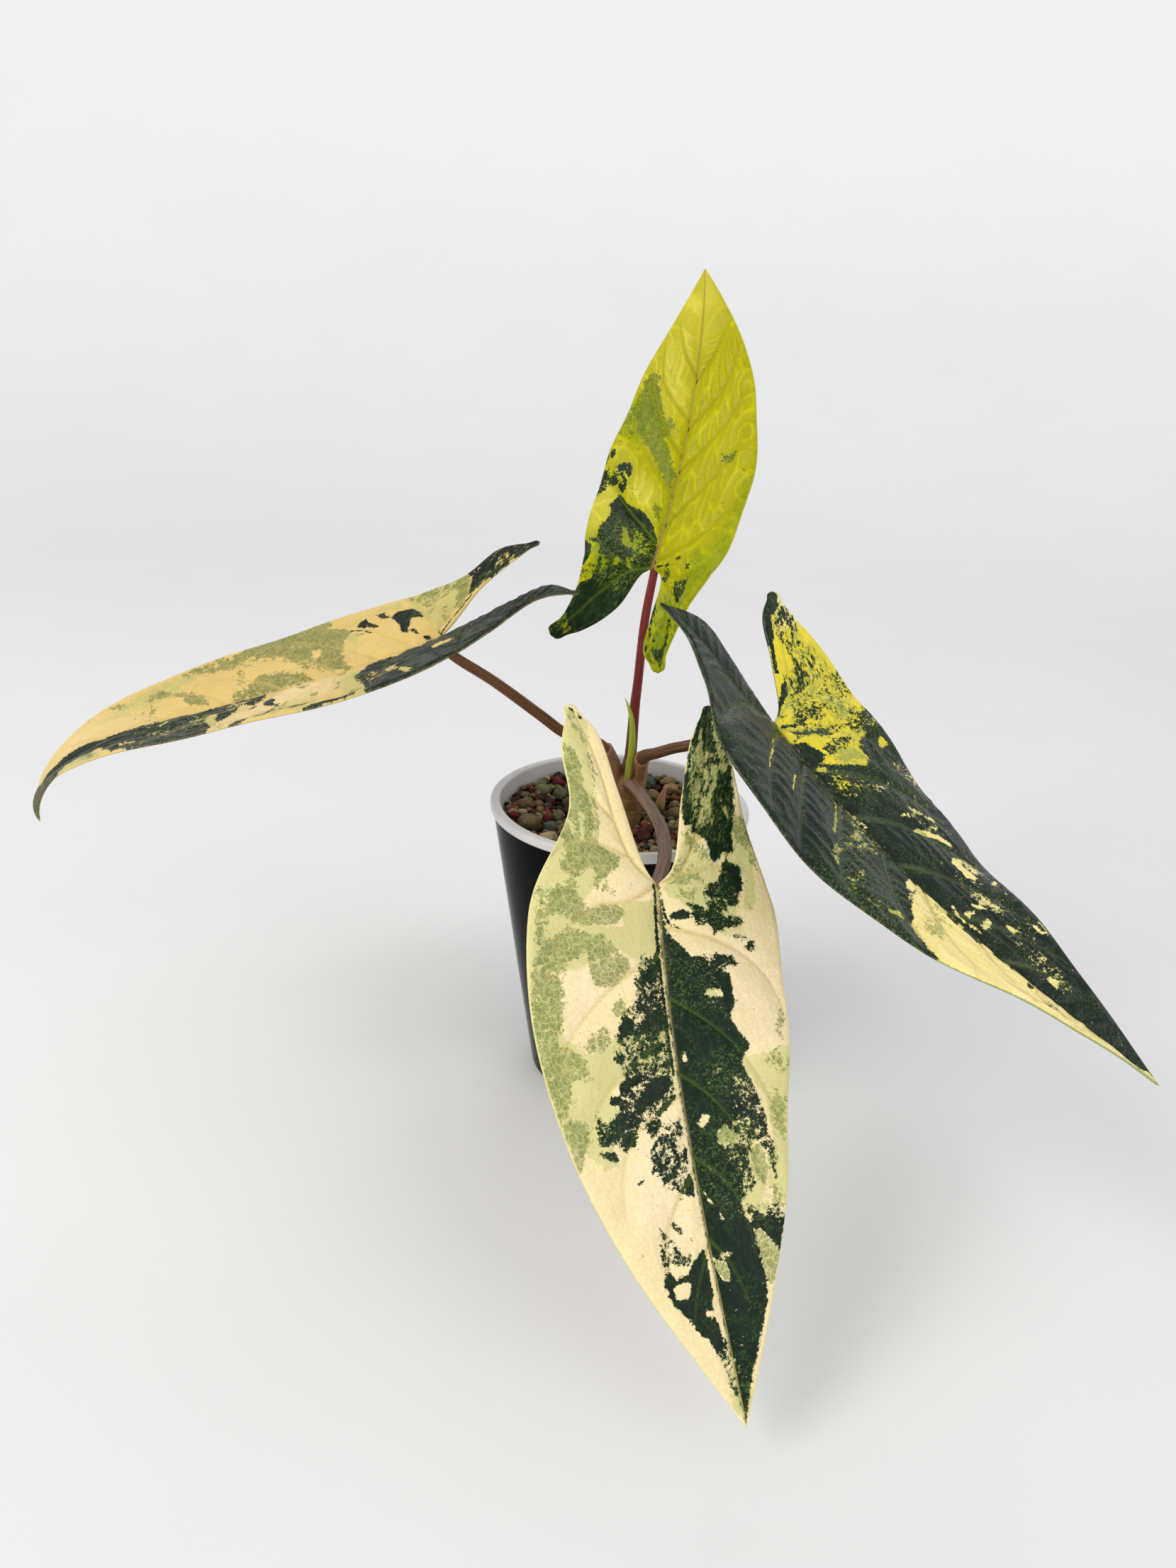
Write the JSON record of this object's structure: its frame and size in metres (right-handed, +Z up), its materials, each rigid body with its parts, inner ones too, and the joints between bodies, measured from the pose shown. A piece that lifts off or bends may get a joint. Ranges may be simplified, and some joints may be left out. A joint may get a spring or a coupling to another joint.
{
  "type": "potted alocasia",
  "caption": "Variegated alocasia with long-lobed arrow-shaped leaves on arching stalks, in gritty mix in a round tapered pot.",
  "frame": {"origin": "centre of the pot's underside", "axes": "+Z up out of the pot, -Y towards the leaf that hangs in front, +X to the right seen from the front"},
  "size_m": [0.3626, 0.2328, 0.3105],
  "materials": {
    "pot_black": "glossy black",
    "pot_white": "white, soft gloss",
    "gritty_mix": "rough lava, pumice and zeolite grit",
    "stem_tan": "tan stem with dry leaf bases",
    "stalk_mauve": "taupe-mauve stalk, lengthwise grooves",
    "stalk_crimson": "crimson stalk, satin",
    "stalk_brown": "brown-maroon stalk, satin",
    "new_leaf_lime": "lime, satin",
    "shoot_pink": "pink-tipped shoot, satin",
    "leaf_cream": "cream, sage and black-green variegated blade, satin",
    "leaf_lime": "yellow-lime blade with dark mottling, satin",
    "leaf_olive": "cream, olive and dark mottled blade, satin",
    "leaf_dark": "black-green glossy blade with cream streaks"
  },
  "bodies": {
    "root": {"pot_shell": "pot_black", "pot_liner": "pot_white", "gritty_mix": "gritty_mix", "stem_base": "stem_tan", "stalk_front": "stalk_mauve", "stalk_top": "stalk_crimson", "stalk_left": "stalk_brown", "stalk_right": "stalk_brown", "new_leaf": "new_leaf_lime", "basal_shoot": "shoot_pink", "leaf_front": "leaf_cream", "leaf_top": "leaf_lime", "leaf_left": "leaf_olive", "leaf_right": "leaf_dark"}
  },
  "joints": []
}
